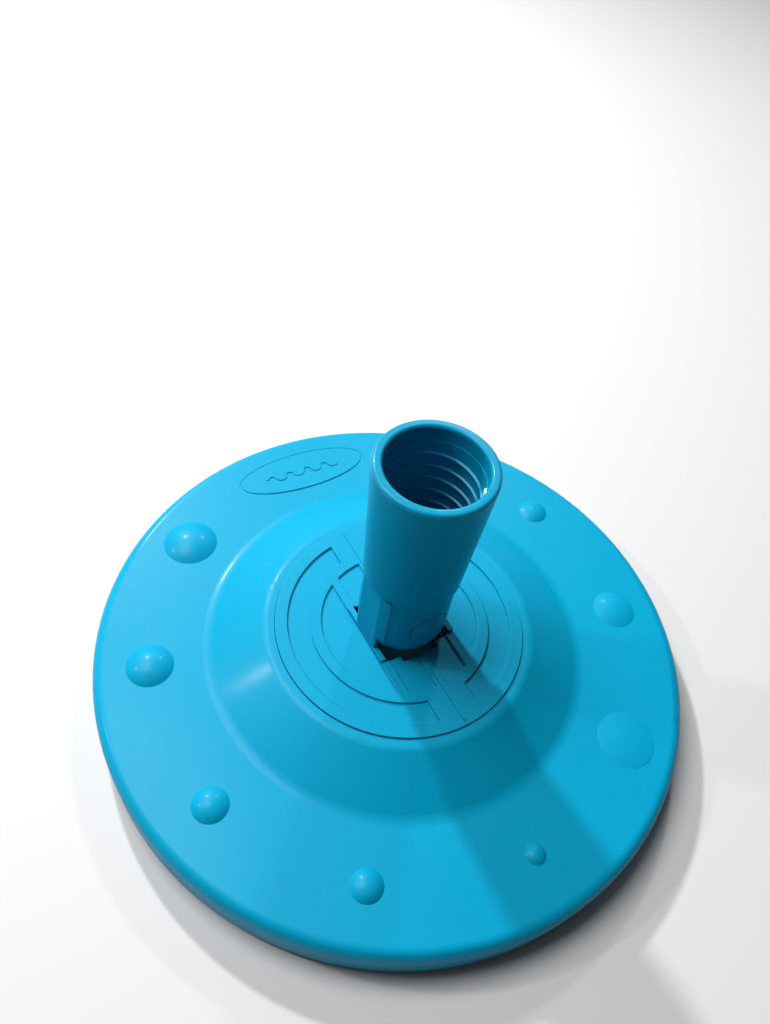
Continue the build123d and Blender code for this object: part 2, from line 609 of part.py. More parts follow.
# ---------------------------------------------------------------- screws
with BuildPart() as base_screws:
    with BuildSketch(Plane.XY.offset(BASE_Z[0] - SCREW_HEAD_T)):
        with PolarLocations(BASE_SCREW_R, SCREW_COUNT):
            Circle(SCREW_HEAD_R)
    extrude(amount=SCREW_HEAD_T)
    with BuildSketch(Plane.XY.offset(BASE_Z[0])):
        with PolarLocations(BASE_SCREW_R, SCREW_COUNT):
            Circle(SCREW_SHANK_R)
    extrude(amount=BASE_SCREW_LENGTH)
base_screws.part.label = "base_screws"
export_step(base_screws.part, "parts/base_screws.step")

with BuildPart() as plate_screws:
    with BuildSketch(Plane.XY.offset(FLANGE_Z - SCREW_HEAD_T)):
        with PolarLocations(PLATE_SCREW_CIRCLE_R, SCREW_COUNT, start_angle=30):
            Circle(WASHER_HEAD_R)
    extrude(amount=SCREW_HEAD_T)
    with BuildSketch(Plane.XY.offset(FLANGE_Z)):
        with PolarLocations(PLATE_SCREW_CIRCLE_R, SCREW_COUNT, start_angle=30):
            Circle(SCREW_SHANK_R)
    extrude(amount=PLATE_SCREW_LENGTH)
plate_screws.part.label = "plate_screws"
export_step(plate_screws.part, "parts/plate_screws.step")
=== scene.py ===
from math import asin, cos, pi, radians

import bpy
from bpy.props import (
    FloatProperty,
    FloatVectorProperty,
    IntProperty,
    PointerProperty,
)
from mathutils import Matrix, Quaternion, Vector


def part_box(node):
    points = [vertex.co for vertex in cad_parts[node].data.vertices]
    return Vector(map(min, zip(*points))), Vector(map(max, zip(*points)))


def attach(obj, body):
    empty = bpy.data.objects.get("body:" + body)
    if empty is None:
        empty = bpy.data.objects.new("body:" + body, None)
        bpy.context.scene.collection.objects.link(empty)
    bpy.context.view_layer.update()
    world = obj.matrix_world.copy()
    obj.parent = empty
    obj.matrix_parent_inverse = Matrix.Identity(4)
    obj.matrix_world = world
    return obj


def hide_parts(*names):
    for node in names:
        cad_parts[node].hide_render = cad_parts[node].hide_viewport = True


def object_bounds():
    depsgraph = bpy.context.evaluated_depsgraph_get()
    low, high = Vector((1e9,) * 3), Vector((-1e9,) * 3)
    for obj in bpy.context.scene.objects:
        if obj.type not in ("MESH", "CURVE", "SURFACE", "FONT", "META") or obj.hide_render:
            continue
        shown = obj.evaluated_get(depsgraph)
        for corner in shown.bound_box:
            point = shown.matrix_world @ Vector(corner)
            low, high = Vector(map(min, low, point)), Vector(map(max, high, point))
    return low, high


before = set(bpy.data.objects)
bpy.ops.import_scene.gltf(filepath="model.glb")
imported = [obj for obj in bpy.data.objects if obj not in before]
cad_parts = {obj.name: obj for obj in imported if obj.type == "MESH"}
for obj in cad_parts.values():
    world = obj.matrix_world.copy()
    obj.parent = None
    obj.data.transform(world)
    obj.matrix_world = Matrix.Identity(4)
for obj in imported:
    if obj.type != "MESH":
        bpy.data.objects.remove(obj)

bl_info = {
    "name": "Pool Vacuum Head",
    "version": (1, 0, 0),
    "blender": (4, 5, 0),
    "location": "3D Viewport > Sidebar > Vacuum Head",
    "description": "Finishes, brush tufts, screws, floor, lights and camera for a pool vacuum head",
    "category": "Object",
}

CAD_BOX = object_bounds()
MM = 0.001
GOLDEN_ANGLE = 2.39996             # turn from one point of a sunflower spiral to the next
SCREW_COUNT = 6                    # screws in each ring
LAMP_ELEVATION = 40.0              # height of the three lamps above the horizon, in degrees
PLASTIC_SPECULAR = 0.09            # dull reflection under the thin clear shine
PLASTIC_SHINE_ROUGHNESS = 0.16

# ------------------------------------------------------------------ places read from the frame
BRUSH_COUNT = len([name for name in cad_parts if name.startswith("bristles_")])
BRISTLE_LOW, BRISTLE_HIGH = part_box("bristles_2")  # the brush that is centred on the +Y axis
BRISTLE_OUTER_R = BRISTLE_HIGH.y
BRISTLE_HALF_ARC = asin(BRISTLE_HIGH.x / BRISTLE_OUTER_R)
BRISTLE_INNER_R = BRISTLE_LOW.y / cos(BRISTLE_HALF_ARC)
BASE_SCREW_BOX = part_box("base_screws")            # one screw of each ring lies on an axis
PLATE_SCREW_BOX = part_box("plate_screws")


# ------------------------------------------------------------------ node trees
class Value:
    """A number's socket that can be used in arithmetic. Each operation adds a Math node."""

    def __init__(self, tree, socket):
        self.tree = tree
        self.socket = socket

    def __add__(self, other):
        return self.tree.maths("ADD", self, other)

    def __radd__(self, other):
        return self.tree.maths("ADD", other, self)

    def __sub__(self, other):
        return self.tree.maths("SUBTRACT", self, other)

    def __rsub__(self, other):
        return self.tree.maths("SUBTRACT", other, self)

    def __mul__(self, other):
        return self.tree.maths("MULTIPLY", self, other)

    def __rmul__(self, other):
        return self.tree.maths("MULTIPLY", other, self)

    def __truediv__(self, other):
        return self.tree.maths("DIVIDE", self, other)

    def __rtruediv__(self, other):
        return self.tree.maths("DIVIDE", other, self)

    def __mod__(self, other):
        return self.tree.maths("FLOORED_MODULO", self, other)

    def __pow__(self, other):
        return self.tree.maths("POWER", self, other)

    def clamped(self, low, high):
        """This value, held between two limits."""
        return self.tree.maths("MAXIMUM", self.tree.maths("MINIMUM", self, high), low)

    def of(self, name):
        """Another output of the same node."""
        return Value(self.tree, self.socket.node.outputs[name])


class Tree:
    """Adds nodes to a node tree and links them as they are made."""

    def __init__(self, node_tree):
        self.node_tree = node_tree
        node_tree.nodes.clear()

    def add(self, kind, settings=None, inputs=None, output=0):
        """Make a node, apply its settings first, then fill its sockets with values or links."""
        node = self.node_tree.nodes.new(kind)
        for name, value in (settings or {}).items():
            setattr(node, name, value)
        for key, value in (inputs or {}).items():
            for item in value if isinstance(value, list) else [value]:
                self.feed(node.inputs[key], item)
        if not node.outputs:
            return node
        return Value(self, node.outputs[output])

    def feed(self, socket, item):
        """Link a value to a socket, or set the socket's own value."""
        if isinstance(item, Value):
            self.node_tree.links.new(item.socket, socket)
        else:
            socket.default_value = item

    def maths(self, operation, *terms):
        """Result of a Math node on these terms."""
        return self.add("ShaderNodeMath", {"operation": operation}, dict(enumerate(terms)))

    def noise(self, coordinates, scale, detail=2.0, roughness=0.5):
        """Noise from 0 to 1 whose features are 1/scale metres."""
        return self.add(
            "ShaderNodeTexNoise",
            inputs={"Vector": coordinates, "Scale": scale, "Detail": detail, "Roughness": roughness},
        )

    def blend_colours(self, factor, first, second):
        """Mix of two colours."""
        return self.add(
            "ShaderNodeMix",
            {"data_type": "RGBA"},
            {0: factor, 6: first, 7: second},
            output=2,
        )


class Finish(Tree):
    """A procedural material that is built on object coordinates."""

    def __init__(self, name):
        self.material = bpy.data.materials.new(name)
        self.material.use_nodes = True
        super().__init__(self.material.node_tree)
        self.place = self.add("ShaderNodeTexCoord").of("Object")

    def axes(self):
        """The three object coordinates as values."""
        split = self.add("ShaderNodeSeparateXYZ", inputs={0: self.place})
        return split.of("X"), split.of("Y"), split.of("Z")

    def bump(self, height, distance):
        """Normal that is turned by a height, which is scaled to a distance in metres."""
        return self.add("ShaderNodeBump", inputs={"Height": height, "Distance": distance, "Strength": 1.0})

    def close(self, **sockets):
        """End the tree in a Principled shader. Underscores in the names stand for blanks."""
        inputs = {name.replace("_", " "): value for name, value in sockets.items()}
        shader = self.add("ShaderNodeBsdfPrincipled", inputs=inputs)
        self.add("ShaderNodeOutputMaterial", inputs={"Surface": shader})
        return self.material


# ------------------------------------------------------------------ finishes
def dimmed(colour, share):
    """The same colour with its red, green and blue scaled."""
    return (colour[0] * share, colour[1] * share, colour[2] * share, 1.0)


def moulded_plastic(name, colour, deep_colour, grain_size, grain_height, roughness, shine):
    """Injection moulded plastic: soft colour drift, spark-eroded grain and faint rub marks."""
    finish = Finish(name)
    drift = finish.noise(finish.place, 14.0, detail=3.0)
    mottle = finish.noise(finish.place, 260.0, detail=2.0)
    grain = finish.noise(finish.place, 1.0 / grain_size, detail=3.0, roughness=0.6)
    stretched = finish.add(
        "ShaderNodeMapping",
        {"vector_type": "POINT"},
        {"Vector": finish.place, "Rotation": (0.0, 0.0, 0.6), "Scale": (40.0, 900.0, 300.0)},
    )
    rubs = finish.noise(stretched, 1.0, detail=2.0)
    rub_mask = ((rubs - 0.68) * 6.0).clamped(0.0, 1.0)
    shade = ((drift - 0.5) * 0.9 + (mottle - 0.5) * 0.5 + 0.5).clamped(0.0, 1.0)
    base = finish.blend_colours(shade, deep_colour, colour)
    rough = (roughness + (grain - 0.5) * 0.16 + (drift - 0.5) * 0.10 + rub_mask * 0.08).clamped(0.05, 0.9)
    return finish.close(
        Base_Color=base,
        Roughness=rough,
        Specular_IOR_Level=PLASTIC_SPECULAR,
        Coat_Weight=shine,
        Coat_Roughness=PLASTIC_SHINE_ROUGHNESS,
        Normal=finish.bump(grain, grain_height),
    )


def bristle_nylon(name, colour, tip_colour, root_z, tip_z):
    """Translucent white nylon that is a little greyer towards the worn tips."""
    finish = Finish(name)
    _, _, z = finish.axes()
    streak = finish.noise(finish.place, 1800.0)
    along = ((z - tip_z) / (root_z - tip_z)).clamped(0.0, 1.0)
    mask = (along * 0.8 + streak * 0.4).clamped(0.0, 1.0)
    return finish.close(
        Base_Color=finish.blend_colours(mask, tip_colour, colour),
        Roughness=(0.34 + streak * 0.12),
        Subsurface_Weight=0.15,
        Subsurface_Radius=(0.002, 0.002, 0.0025),
        Normal=finish.bump(streak, 0.04 * MM),
    )


def rubber(name, colour, worn_colour):
    """Matt rubber with fine pores."""
    finish = Finish(name)
    cloud = finish.noise(finish.place, 90.0, detail=4.0)
    pores = finish.noise(finish.place, 2600.0)
    return finish.close(
        Base_Color=finish.blend_colours(cloud, colour, worn_colour),
        Roughness=(0.62 + cloud * 0.2),
        Normal=finish.bump(pores, 0.05 * MM),
    )


def stainless(name, colour, dull_colour):
    """Turned stainless steel: fine rings about Z and a few dull spots."""
    finish = Finish(name)
    turned = finish.noise(finish.place, 5200.0)
    spots = finish.noise(finish.place, 700.0, detail=3.0)
    return finish.close(
        Base_Color=finish.blend_colours(spots, colour, dull_colour),
        Metallic=1.0,
        Roughness=(0.24 + spots * 0.22),
        Normal=finish.bump(turned, 0.012 * MM),
    )


def coated_iron(name, colour, rough_colour):
    """Cast iron under thick paint: rolling cast skin and small pits."""
    finish = Finish(name)
    skin = finish.noise(finish.place, 220.0, detail=5.0, roughness=0.6)
    pits = finish.add(
        "ShaderNodeTexVoronoi",
        {"feature": "F1"},
        {"Vector": finish.place, "Scale": 420.0},
    )
    pit_mask = (1.0 - pits * 5.0).clamped(0.0, 1.0)
    return finish.close(
        Base_Color=finish.blend_colours(skin, colour, rough_colour),
        Roughness=(0.42 + skin * 0.25),
        Normal=finish.bump(skin - pit_mask * 0.6, 0.25 * MM),
    )


def acetal(name, colour, deep_colour):
    """Turned acetal with a waxy surface and tool marks."""
    finish = Finish(name)
    marks = finish.noise(finish.place, 3200.0)
    cloud = finish.noise(finish.place, 160.0)
    return finish.close(
        Base_Color=finish.blend_colours(cloud, colour, deep_colour),
        Roughness=(0.28 + marks * 0.14),
        Normal=finish.bump(marks, 0.02 * MM),
    )


def pale_floor(name, colour, shade_colour, painted_shade_colour):
    """Plain pale studio floor, with painted shade: a dark blue spot under the head stands in for the shade
    there and keeps the throat above it dark.
    """
    finish = Finish(name)
    x, y, _ = finish.axes()
    # painted shade under the head: full spot colour within about 41 mm of the middle, fading out by about
    # 71 mm
    spot = ((x * x + y * y) * -300.0 + 1.5).clamped(0.0, 1.0)
    cloud = finish.noise(finish.place, 2.5, detail=3.0)
    tooth = finish.noise(finish.place, 900.0)
    clouded = finish.blend_colours(cloud, colour, shade_colour)
    return finish.close(
        Base_Color=finish.blend_colours(spot, clouded, painted_shade_colour),
        Roughness=(0.72 + cloud * 0.1),
        Specular_IOR_Level=0.2,
        Normal=finish.bump(tooth, 0.01 * MM),
    )


# ------------------------------------------------------------------ geometry nodes
class Shape(Tree):
    """A geometry node tree with named inputs."""

    def __init__(self, name, inputs):
        group = bpy.data.node_groups.new(name, "GeometryNodeTree")
        super().__init__(group)
        group.interface.new_socket("Geometry", in_out="OUTPUT", socket_type="NodeSocketGeometry")
        self.identifiers = {}
        for label, kind in inputs.items():
            socket = group.interface.new_socket(label, in_out="INPUT", socket_type=kind)
            self.identifiers[label] = socket.identifier
        self.source = self.add("NodeGroupInput")

    def given(self, label):
        """One of the tree's inputs."""
        return self.source.of(label)

    def vector(self, x=0.0, y=0.0, z=0.0):
        """Vector from three values."""
        return self.add("ShaderNodeCombineXYZ", inputs={0: x, 1: y, 2: z})

    def random(self, low, high, seed):
        """Random number for each element."""
        return self.add(
            "FunctionNodeRandomValue",
            {"data_type": "FLOAT"},
            {2: low, 3: high, "Seed": seed},
            output=1,
        )

    def smooth_below(self, geometry, angle):
        """Smooth shading with sharp edges where faces meet at more than an angle."""
        edge_angle = self.add("GeometryNodeInputMeshEdgeAngle")
        soft = self.add(
            "FunctionNodeCompare",
            {"data_type": "FLOAT", "operation": "LESS_THAN"},
            {0: edge_angle, 1: angle},
        )
        faces = self.add("GeometryNodeSetShadeSmooth", {"domain": "FACE"}, {"Geometry": geometry})
        return self.add(
            "GeometryNodeSetShadeSmooth",
            {"domain": "EDGE"},
            {"Geometry": faces, "Shade Smooth": soft},
        )

    def close(self, geometry, material):
        """End the tree in real geometry with one material."""
        real = self.add("GeometryNodeRealizeInstances", inputs={"Geometry": geometry})
        painted = self.add("GeometryNodeSetMaterial", inputs={"Geometry": real, "Material": material})
        self.add("NodeGroupOutput", inputs={"Geometry": painted})


def tuft_tree():
    """Bristle tufts in staggered rows along an arc about the Z axis."""
    number, whole = "NodeSocketFloat", "NodeSocketInt"
    shape = Shape("Brush tufts", {
        "Inner Radius": number,
        "Outer Radius": number,
        "Centre Angle": number,
        "Half Arc": number,
        "Root Height": number,
        "Tip Height": number,
        "Rows": whole,
        "Tufts": whole,
        "Filaments": whole,
        "Tuft Radius": number,
        "Filament Radius": number,
        "Splay": number,
        "Seed": whole,
        "Material": "NodeSocketMaterial",
    })
    given = shape.given
    index = shape.add("GeometryNodeInputIndex")
    length = given("Root Height") - given("Tip Height")

    # one filament, hanging down from its root
    filament = shape.add(
        "GeometryNodeMeshCone",
        inputs={
            "Vertices": 5,
            "Side Segments": 2,
            "Radius Top": given("Filament Radius"),
            "Radius Bottom": given("Filament Radius") * 0.7,
            "Depth": length,
        },
    )
    filament = shape.add(
        "GeometryNodeTransform",
        inputs={"Geometry": filament, "Translation": shape.vector(z=0.0 - length)},
    )
    filament = shape.smooth_below(filament, 1.2)

    # one tuft: filaments on a sunflower spiral that spread a little towards their tips
    share = ((index + 0.5) / given("Filaments")) ** 0.5
    turn = index * GOLDEN_ANGLE
    along_x = share * shape.maths("COSINE", turn)
    along_y = share * shape.maths("SINE", turn)
    spiral = shape.add(
        "GeometryNodePoints",
        inputs={
            "Count": given("Filaments"),
            "Position": shape.vector(
                along_x * given("Tuft Radius"),
                along_y * given("Tuft Radius"),
            ),
        },
    )
    tuft = shape.add(
        "GeometryNodeInstanceOnPoints",
        inputs={
            "Points": spiral,
            "Instance": filament,
            "Rotation": shape.vector(
                along_y * given("Splay"),
                0.0 - along_x * given("Splay"),
                turn,
            ),
        },
    )

    # the tufts of one brush
    column = shape.maths("FLOOR", index / given("Rows"))
    row = index % given("Rows")
    stagger = (row % 2.0) * 0.5
    step = 2.0 * given("Half Arc") / (given("Tufts") + 0.5)
    angle = given("Centre Angle") - given("Half Arc") + (column + 0.5 + stagger) * step
    span = given("Outer Radius") - given("Inner Radius") - 2.6 * given("Tuft Radius")
    radius = given("Inner Radius") + 1.3 * given("Tuft Radius") + row * span / (given("Rows") - 1.0)
    places = shape.add(
        "GeometryNodePoints",
        inputs={
            "Count": given("Tufts") * given("Rows"),
            "Position": shape.vector(
                radius * shape.maths("COSINE", angle),
                radius * shape.maths("SINE", angle),
                given("Root Height"),
            ),
        },
    )
    brush = shape.add(
        "GeometryNodeInstanceOnPoints",
        inputs={
            "Points": places,
            "Instance": tuft,
            "Rotation": shape.vector(
                shape.random(-0.05, 0.05, given("Seed")),
                shape.random(-0.05, 0.05, given("Seed") + 1.0),
                shape.random(0.0, 6.28, given("Seed") + 2.0),
            ),
            "Scale": shape.vector(1.0, 1.0, shape.random(0.94, 1.0, given("Seed") + 3.0)),
        },
    )
    shape.close(brush, given("Material"))
    return shape


def screw_tree():
    """Ring of domed screws with a cross recess, heads down, about the Z axis."""
    number = "NodeSocketFloat"
    shape = Shape("Ring of screws", {
        "Circle Radius": number,
        "First Angle": number,
        "Count": "NodeSocketInt",
        "Head Height": number,
        "Head Radius": number,
        "Head Thickness": number,
        "Dome": number,
        "Recess Length": number,
        "Recess Width": number,
        "Recess Depth": number,
        "Shank Radius": number,
        "Shank Length": number,
        "Material": "NodeSocketMaterial",
    })
    given = shape.given
    index = shape.add("GeometryNodeInputIndex")
    wall = given("Head Thickness") - given("Dome")
    disc = shape.add(
        "GeometryNodeMeshCone",
        inputs={
            "Vertices": 40,
            "Side Segments": 1,
            "Fill Segments": 6,
            "Radius Top": given("Head Radius"),
            "Radius Bottom": given("Head Radius"),
            "Depth": wall,
        },
    )
    position = shape.add("ShaderNodeSeparateXYZ", inputs={0: shape.add("GeometryNodeInputPosition")})
    x, y, z = position.of("X"), position.of("Y"), position.of("Z")
    outward = (x * x + y * y) / (given("Head Radius") * given("Head Radius"))
    on_top = shape.maths("GREATER_THAN", z, wall * 0.5)
    domed = shape.add(
        "GeometryNodeSetPosition",
        inputs={
            "Geometry": disc,
            "Offset": shape.vector(z=given("Dome") * (1.0 - outward) * on_top),
        },
    )
    top = given("Head Thickness")
    bars = [
        shape.add(
            "GeometryNodeMeshCube",
            inputs={"Size": shape.vector(*sides, 2.0 * given("Recess Depth"))},
        )
        for sides in (
            (given("Recess Length"), given("Recess Width")),
            (given("Recess Width"), given("Recess Length")),
        )
    ]
    raised = [
        shape.add(
            "GeometryNodeTransform",
            inputs={"Geometry": bar, "Translation": shape.vector(z=top)},
        )
        for bar in bars
    ]
    head = shape.add(
        "GeometryNodeMeshBoolean",
        {"operation": "DIFFERENCE", "solver": "EXACT"},
        {"Mesh 1": domed, "Mesh 2": raised},
    )
    shank = shape.add(
        "GeometryNodeMeshCylinder",
        inputs={
            "Vertices": 24,
            "Radius": given("Shank Radius"),
            "Depth": given("Shank Length"),
        },
    )
    shank = shape.add(
        "GeometryNodeTransform",
        inputs={"Geometry": shank, "Translation": shape.vector(z=given("Shank Length") * -0.5)},
    )
    screw = shape.add("GeometryNodeJoinGeometry", inputs={"Geometry": [head, shank]})
    screw = shape.smooth_below(screw, 0.6)
    angle = given("First Angle") + index * (2.0 * pi / given("Count"))
    places = shape.add(
        "GeometryNodePoints",
        inputs={
            "Count": given("Count"),
            "Position": shape.vector(
                given("Circle Radius") * shape.maths("COSINE", angle),
                given("Circle Radius") * shape.maths("SINE", angle),
                given("Head Height"),
            ),
        },
    )
    ring = shape.add(
        "GeometryNodeInstanceOnPoints",
        inputs={
            "Points": places,
            "Instance": screw,
            "Rotation": shape.vector(x=pi, z=index * 1.7),
        },
    )
    shape.close(ring, given("Material"))
    return shape


def grow(name, shape, values):
    """Plain mesh object made by a geometry node tree with these input values."""
    carrier = bpy.data.objects.new(name + "_source", bpy.data.meshes.new(name + "_source"))
    bpy.context.scene.collection.objects.link(carrier)
    modifier = carrier.modifiers.new(name, "NODES")
    modifier.node_group = shape.node_tree
    for label, value in values.items():
        modifier[shape.identifiers[label]] = value
    view = bpy.context.evaluated_depsgraph_get()
    mesh = bpy.data.meshes.new_from_object(carrier.evaluated_get(view), depsgraph=view)
    carrier.modifiers.remove(modifier)
    bpy.data.objects.remove(carrier)
    mesh.name = name
    piece = bpy.data.objects.new(name, mesh)
    bpy.context.scene.collection.objects.link(piece)
    return piece


def paint(names, material):
    """Give CAD nodes a finish through their material slots."""
    for name in names:
        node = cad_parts[name]
        for slot in node.material_slots:
            slot.material = material


def numbered(stem):
    """Names of the frame's nodes that start with a stem, in order."""
    return sorted(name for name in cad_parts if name.startswith(stem))


# ------------------------------------------------------------------ settings
def colour_setting(name, description, default):
    """Colour property."""
    return FloatVectorProperty(
        name=name,
        description=description,
        default=default,
        subtype="COLOR",
        size=4,
        min=0.0,
        max=1.0,
    )


def length_setting(name, description, default):
    """Length property, in metres."""
    return FloatProperty(name=name, description=description, default=default, unit="LENGTH", precision=5)


def angle_setting(name, description, degrees):
    """Angle property, with its default in degrees."""
    return FloatProperty(name=name, description=description, default=radians(degrees), subtype="ANGLE")


def power_setting(name, description, watts):
    """Power of a light."""
    return FloatProperty(name=name, description=description, default=watts, unit="POWER")


def share_setting(name, description, default):
    """Share from 0 to 1."""
    return FloatProperty(name=name, description=description, default=default, subtype="FACTOR")


class PlasticSettings(bpy.types.PropertyGroup):
    """Colours and grain of the blue mouldings."""

    colour: colour_setting("Blue", "Main colour of the mouldings", (0.001, 0.305, 0.50, 1.0))
    deep: colour_setting("Deep blue", "Darker end of the colour drift", (0.0005, 0.270, 0.455, 1.0))
    deck_grain: length_setting("Deck grain", "Size of the moulded grain on the deck", 0.55 * MM)
    deck_depth: length_setting("Deck grain depth", "Height of the deck's grain", 0.045 * MM)
    deck_roughness: share_setting("Deck roughness", "Roughness of the deck", 0.42)
    socket_roughness: share_setting("Socket roughness", "Roughness of the hose socket", 0.30)
    deck_shine: share_setting("Deck shine", "Thin clear shine on the deck", 0.05)
    socket_shine: share_setting("Socket shine", "Thin clear shine on the socket and base", 0.10)


class BrushSettings(bpy.types.PropertyGroup):
    """Sizes and colours of the brushes."""

    rows: IntProperty(name="Rows", description="Rows of tufts in each brush", default=3)
    tufts: IntProperty(name="Tufts", description="Tufts in each row", default=28)
    filaments: IntProperty(name="Filaments", description="Filaments in each tuft", default=14)
    tuft_radius: length_setting("Tuft radius", "Radius of a tuft at its root", 1.15 * MM)
    filament_radius: length_setting("Filament radius", "Radius of one filament", 0.2 * MM)
    splay: angle_setting("Splay", "Lean of a tuft's outer filaments", 9.0)
    seed: IntProperty(name="Seed", description="Seed of the tufts' small differences", default=7)
    nylon: colour_setting("Nylon", "Colour of the filaments", (0.78, 0.82, 0.84, 1.0))
    tip: colour_setting("Tips", "Colour of the worn tips", (0.62, 0.66, 0.68, 1.0))
    back: colour_setting("Brush back", "Colour of the brush backs", (0.72, 0.77, 0.80, 1.0))


class ScrewSettings(bpy.types.PropertyGroup):
    """Sizes of the screws."""

    head_radius: length_setting("Head radius", "Radius of a base screw's head", 3.4 * MM)
    washer_radius: length_setting("Washer head radius", "Radius of a plate screw's head", 5.6 * MM)
    head_thickness: length_setting("Head thickness", "Height of a head", 1.8 * MM)
    dome: length_setting("Dome", "Rise of a head's middle", 0.7 * MM)
    recess_length: length_setting("Recess length", "Length of the cross recess", 3.6 * MM)
    recess_width: length_setting("Recess width", "Width of the cross recess", 0.9 * MM)
    recess_depth: length_setting("Recess depth", "Depth of the cross recess", 1.1 * MM)
    shank_radius: length_setting("Shank radius", "Radius of a shank", 1.5 * MM)
    steel: colour_setting("Steel", "Colour of the screws", (0.62, 0.62, 0.60, 1.0))


class StageSettings(bpy.types.PropertyGroup):
    """Floor, lights and camera."""

    floor_size: length_setting("Floor size", "Side of the square floor", 8.0)
    floor: colour_setting("Floor", "Colour of the floor", (0.62, 0.62, 0.62, 1.0))
    # painted shade: dark blue painted on the floor where the head's shade falls
    spot: colour_setting("Floor spot", "Colour of the floor that the head hides", (0.006, 0.045, 0.08, 1.0))
    light_distance: length_setting("Light distance", "Distance of the lamps", 1.5)
    light_size: length_setting("Light size", "Diameter of the lamps", 0.09)
    key_power: power_setting("Key", "Power of the lamp behind the head", 19.2)
    side_power: power_setting("Sides", "Power of the two side lamps", 4.4)
    top_power: power_setting("Top", "Power of the soft light overhead", 18.5)
    top_size: length_setting("Top light size", "Diameter of the soft light overhead", 0.8)
    sky: FloatProperty(name="Sky", description="Strength of the sky", default=0.15)
    camera_aim: FloatVectorProperty(
        name="Aim",
        description="Point at the middle of the view",
        default=(0.01923, 0.05298, 0.05669),
        subtype="TRANSLATION",
        unit="LENGTH",
        precision=5,
    )
    camera_distance: length_setting("Camera distance", "Distance from the aim to the camera", 0.43275)
    camera_azimuth: angle_setting("Azimuth", "Direction that the camera stands in, from -Y", -37.63)
    camera_elevation: angle_setting("Elevation", "Height of the camera above the horizon", 50.06)
    camera_roll: angle_setting("Roll", "Tilt of the camera about its own line of sight", 10.29)
    lens: FloatProperty(name="Lens", description="Focal length", default=28.84, unit="CAMERA")


class VacuumHeadSettings(bpy.types.PropertyGroup):
    """All settings of the pool vacuum head."""

    plastic: PointerProperty(type=PlasticSettings, name="Plastic", description="Blue mouldings")
    brush: PointerProperty(type=BrushSettings, name="Brushes", description="Brushes below the head")
    screw: PointerProperty(type=ScrewSettings, name="Screws", description="Screws below the head")
    stage: PointerProperty(type=StageSettings, name="Stage", description="Floor, lights and camera")


# ------------------------------------------------------------------ operators
class HEAD_OT_mouldings(bpy.types.Operator):
    """Finish the grained deck shell, the pivot plate and the base plate"""

    bl_idname = "vacuum_head.mouldings"
    bl_label = "Deck Mouldings"
    bl_options = {"REGISTER", "UNDO"}

    def execute(self, context):
        plastic = context.scene.vacuum_head.plastic
        grained = moulded_plastic(
            "deck plastic",
            plastic.colour,
            plastic.deep,
            plastic.deck_grain,
            plastic.deck_depth,
            plastic.deck_roughness,
            plastic.deck_shine,
        )
        paint(["head_shell", "pivot_plate"], grained)
        plain = moulded_plastic(
            "base plastic",
            plastic.colour,
            plastic.deep,
            2.0 * plastic.deck_grain,
            plastic.deck_depth,
            plastic.deck_roughness,
            plastic.socket_shine,
        )
        paint(["base_plate", "suction_duct"], plain)
        return {"FINISHED"}


class HEAD_OT_socket(bpy.types.Operator):
    """Finish the glossier hose socket and the key in its foot, in the deck's blue dimmed as painted shade
    """

    bl_idname = "vacuum_head.socket"
    bl_label = "Hose Socket"
    bl_options = {"REGISTER", "UNDO"}

    def execute(self, context):
        plastic = context.scene.vacuum_head.plastic
        glossy = moulded_plastic(
            "socket plastic",
            # painted shade: the deck's blue and deep blue dimmed, a darker copy that paints the shade on
            # the tube
            dimmed(plastic.colour, 0.86),
            dimmed(plastic.deep, 0.80),
            0.5 * plastic.deck_grain,
            0.25 * plastic.deck_depth,
            plastic.socket_roughness,
            plastic.socket_shine,
        )
        paint(["hose_socket", "pivot_key"], glossy)
        return {"FINISHED"}


class HEAD_OT_seals(bpy.types.Operator):
    """Finish the gasket, the duct seal and the hose washer"""

    bl_idname = "vacuum_head.seals"
    bl_label = "Seals"
    bl_options = {"REGISTER", "UNDO"}

    def execute(self, context):
        black = rubber("seal rubber", (0.012, 0.012, 0.013, 1.0), (0.035, 0.036, 0.038, 1.0))
        paint(["plate_gasket", "duct_seal", "hose_washer"], black)
        return {"FINISHED"}


class HEAD_OT_pivot_fittings(bpy.types.Operator):
    """Finish the pivot's bushes and pins"""

    bl_idname = "vacuum_head.pivot_fittings"
    bl_label = "Pivot Fittings"
    bl_options = {"REGISTER", "UNDO"}

    def execute(self, context):
        pale = acetal("bush acetal", (0.80, 0.80, 0.77, 1.0), (0.70, 0.70, 0.66, 1.0))
        dark = acetal("pin acetal", (0.020, 0.020, 0.022, 1.0), (0.034, 0.034, 0.036, 1.0))
        paint(["left_bush", "right_bush"], pale)
        paint(["left_pin", "right_pin"], dark)
        return {"FINISHED"}


class HEAD_OT_ballast(bpy.types.Operator):
    """Finish the iron ballast inside the head"""

    bl_idname = "vacuum_head.ballast"
    bl_label = "Ballast"
    bl_options = {"REGISTER", "UNDO"}

    def execute(self, context):
        iron = coated_iron("ballast iron", (0.045, 0.047, 0.050, 1.0), (0.085, 0.082, 0.078, 1.0))
        paint(numbered("ballast_"), iron)
        return {"FINISHED"}


